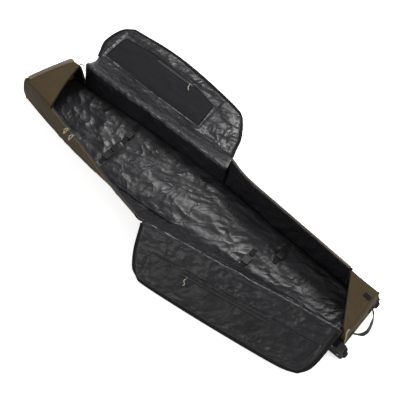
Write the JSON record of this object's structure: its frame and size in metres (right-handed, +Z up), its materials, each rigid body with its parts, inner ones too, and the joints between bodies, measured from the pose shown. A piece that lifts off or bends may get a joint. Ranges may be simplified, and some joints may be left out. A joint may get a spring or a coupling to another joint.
{
  "type": "wheeled ski bag",
  "caption": "Long padded roller bag for skis lying open on its back, with two lid flaps folded out, end caps, wheels, straps, pockets and a grab handle.",
  "frame": {"origin": "on the underside of the floor panel, at its middle", "axes": "+X from the tip end to the wheel end, +Y to the far side, where the tip half's flap opens, +Z up"},
  "size_m": [1.985, 1.0076, 0.2277],
  "materials": {
    "olive_canvas": "coarse coated polyester, matt",
    "black_lining": "glossy black nylon, crumpled",
    "pocket_cloth": "matt black polyester",
    "zip_tape": "woven tape",
    "underside_cloth": "heavy tarpaulin",
    "moulded_black": "fine moulded grain",
    "board_plastic": "extruded sheet",
    "foam": "closed-cell foam",
    "wheel_rubber": "satin polyurethane",
    "steel": "turned",
    "rivet_metal": "black zinc",
    "slider_metal": "black nickel",
    "pull_cord": "braided cord",
    "buckle_plastic": "acetal, satin",
    "webbing": "ribbed webbing"
  },
  "bodies": {
    "bag_base": {"axle_spacers": "steel", "base_board": "board_plastic", "far_tip_wall": "black_lining", "far_wall_zip_tape": "zip_tape", "far_wheel_housing": "moulded_black", "far_wheel_wall": "black_lining", "floor_lining": "black_lining", "floor_panel": "underside_cloth", "handle_anchors": "webbing", "housing_rivets": "rivet_metal", "near_tip_wall": "olive_canvas", "near_wall_gusset": "black_lining", "near_wall_zip_tape": "zip_tape", "near_wheel_housing": "moulded_black", "skid_plate": "moulded_black", "tip_cap": "olive_canvas", "tip_far_buckle_socket": "buckle_plastic", "tip_far_strap": "webbing", "tip_foam": "foam", "tip_near_buckle_socket": "buckle_plastic", "tip_near_strap": "webbing", "wheel_axles": "steel", "wheel_cap": "olive_canvas", "wheel_far_buckle_socket": "buckle_plastic", "wheel_far_strap": "webbing", "wheel_near_buckle_socket": "buckle_plastic", "wheel_near_strap": "webbing"},
    "far_flap": {"far_flap_shell": "black_lining", "far_flap_pocket": "pocket_cloth", "far_flap_zip_tape": "zip_tape", "far_pocket_zip": "zip_tape"},
    "far_pocket_slider": {"far_pocket_slider": "slider_metal"},
    "near_wall": {"near_wheel_wall": "black_lining"},
    "near_flap": {"near_flap_shell": "black_lining", "near_flap_pocket": "pocket_cloth", "near_flap_zip_tape": "zip_tape", "near_pocket_zip": "zip_tape"},
    "near_pocket_slider": {"near_pocket_slider": "slider_metal"},
    "near_wheel": {"near_wheel_hub": "moulded_black", "near_wheel_tyre": "wheel_rubber", "near_wheel_bearings": "steel"},
    "far_wheel": {"far_wheel_hub": "moulded_black", "far_wheel_tyre": "wheel_rubber", "far_wheel_bearings": "steel"},
    "end_handle": {"end_handle_webbing": "webbing"},
    "slider_a": {"near_slider_a": "slider_metal"},
    "slider_a_pull": {"near_slider_a_pull": "pull_cord"},
    "slider_b": {"near_slider_b": "slider_metal"},
    "slider_b_pull": {"near_slider_b_pull": "pull_cord"},
    "tip_near_clip": {"tip_near_buckle_prong": "buckle_plastic", "tip_near_strap_tail": "webbing"},
    "tip_far_clip": {"tip_far_buckle_prong": "buckle_plastic", "tip_far_strap_tail": "webbing"},
    "wheel_near_clip": {"wheel_near_buckle_prong": "buckle_plastic", "wheel_near_strap_tail": "webbing"},
    "wheel_far_clip": {"wheel_far_buckle_prong": "buckle_plastic", "wheel_far_strap_tail": "webbing"}
  },
  "joints": [
    {"name": "far_flap_fold", "type": "hinge", "parent": "bag_base", "child": "far_flap", "pos_m": [-0.37, 0.17, 0.12], "axis": [1, 0, 0], "range_deg": [0, 178]},
    {"name": "near_flap_fold", "type": "hinge", "parent": "near_wall", "child": "near_flap", "pos_m": [0.435, -0.1975, 0.1585], "axis": [-0.986, -0.1643, -0.0269], "range_deg": [0, 162]},
    {"name": "near_wall_fold", "type": "hinge", "parent": "bag_base", "child": "near_wall", "pos_m": [0.435, -0.145, 0.08825], "axis": [-0.9842, -0.0597, -0.1665], "range_deg": [0, 42]},
    {"name": "far_pocket_zip", "type": "slide", "parent": "far_flap", "child": "far_pocket_slider", "axis": [-1, 0, 0], "range_m": [0, 0.19]},
    {"name": "near_pocket_zip", "type": "slide", "parent": "near_flap", "child": "near_pocket_slider", "axis": [0.986, 0.1643, 0.0269], "range_m": [0, 0.38]},
    {"name": "near_wheel_spin", "type": "hinge", "parent": "bag_base", "child": "near_wheel", "pos_m": [0.966, -0.15, 0.037], "axis": [0, 1, 0], "continuous": true},
    {"name": "far_wheel_spin", "type": "hinge", "parent": "bag_base", "child": "far_wheel", "pos_m": [0.938, 0.122, 0.037], "axis": [0, 1, 0], "continuous": true},
    {"name": "end_handle_swing", "type": "hinge", "parent": "bag_base", "child": "end_handle", "pos_m": [0.9773, 0, 0.092], "axis": [0, 1, 0], "range_deg": [-60, 50]},
    {"name": "slider_a_run", "type": "slide", "parent": "bag_base", "child": "slider_a", "axis": [-0.9748, 0.2215, 0.0273], "range_m": [0, 0.1]},
    {"name": "slider_b_run", "type": "slide", "parent": "bag_base", "child": "slider_b", "axis": [0.9748, -0.2215, -0.0273], "range_m": [0, 0.09]},
    {"name": "slider_a_pull_swing", "type": "hinge", "parent": "slider_a", "child": "slider_a_pull", "pos_m": [-0.6, -0.17091, 0.2118], "axis": [-0.9748, 0.2215, 0.0273], "range_deg": [-25, 150]},
    {"name": "slider_b_pull_swing", "type": "hinge", "parent": "slider_b", "child": "slider_b_pull", "pos_m": [-0.56, -0.18, 0.21068], "axis": [-0.9748, 0.2215, 0.0273], "range_deg": [-25, 150]},
    {"name": "tip_near_release", "type": "slide", "parent": "bag_base", "child": "tip_near_clip", "axis": [0, 1, 0], "range_m": [0, 0.016]},
    {"name": "tip_far_release", "type": "slide", "parent": "bag_base", "child": "tip_far_clip", "axis": [0, 1, 0], "range_m": [0, 0.016]},
    {"name": "wheel_near_release", "type": "slide", "parent": "bag_base", "child": "wheel_near_clip", "axis": [0, 1, 0], "range_m": [0, 0.016]},
    {"name": "wheel_far_release", "type": "slide", "parent": "bag_base", "child": "wheel_far_clip", "axis": [0, 1, 0], "range_m": [0, 0.016]}
  ],
  "couplings": [
    {"joint": "near_wall_fold", "follows": "near_flap_fold", "ratio": 0.25926}
  ]
}
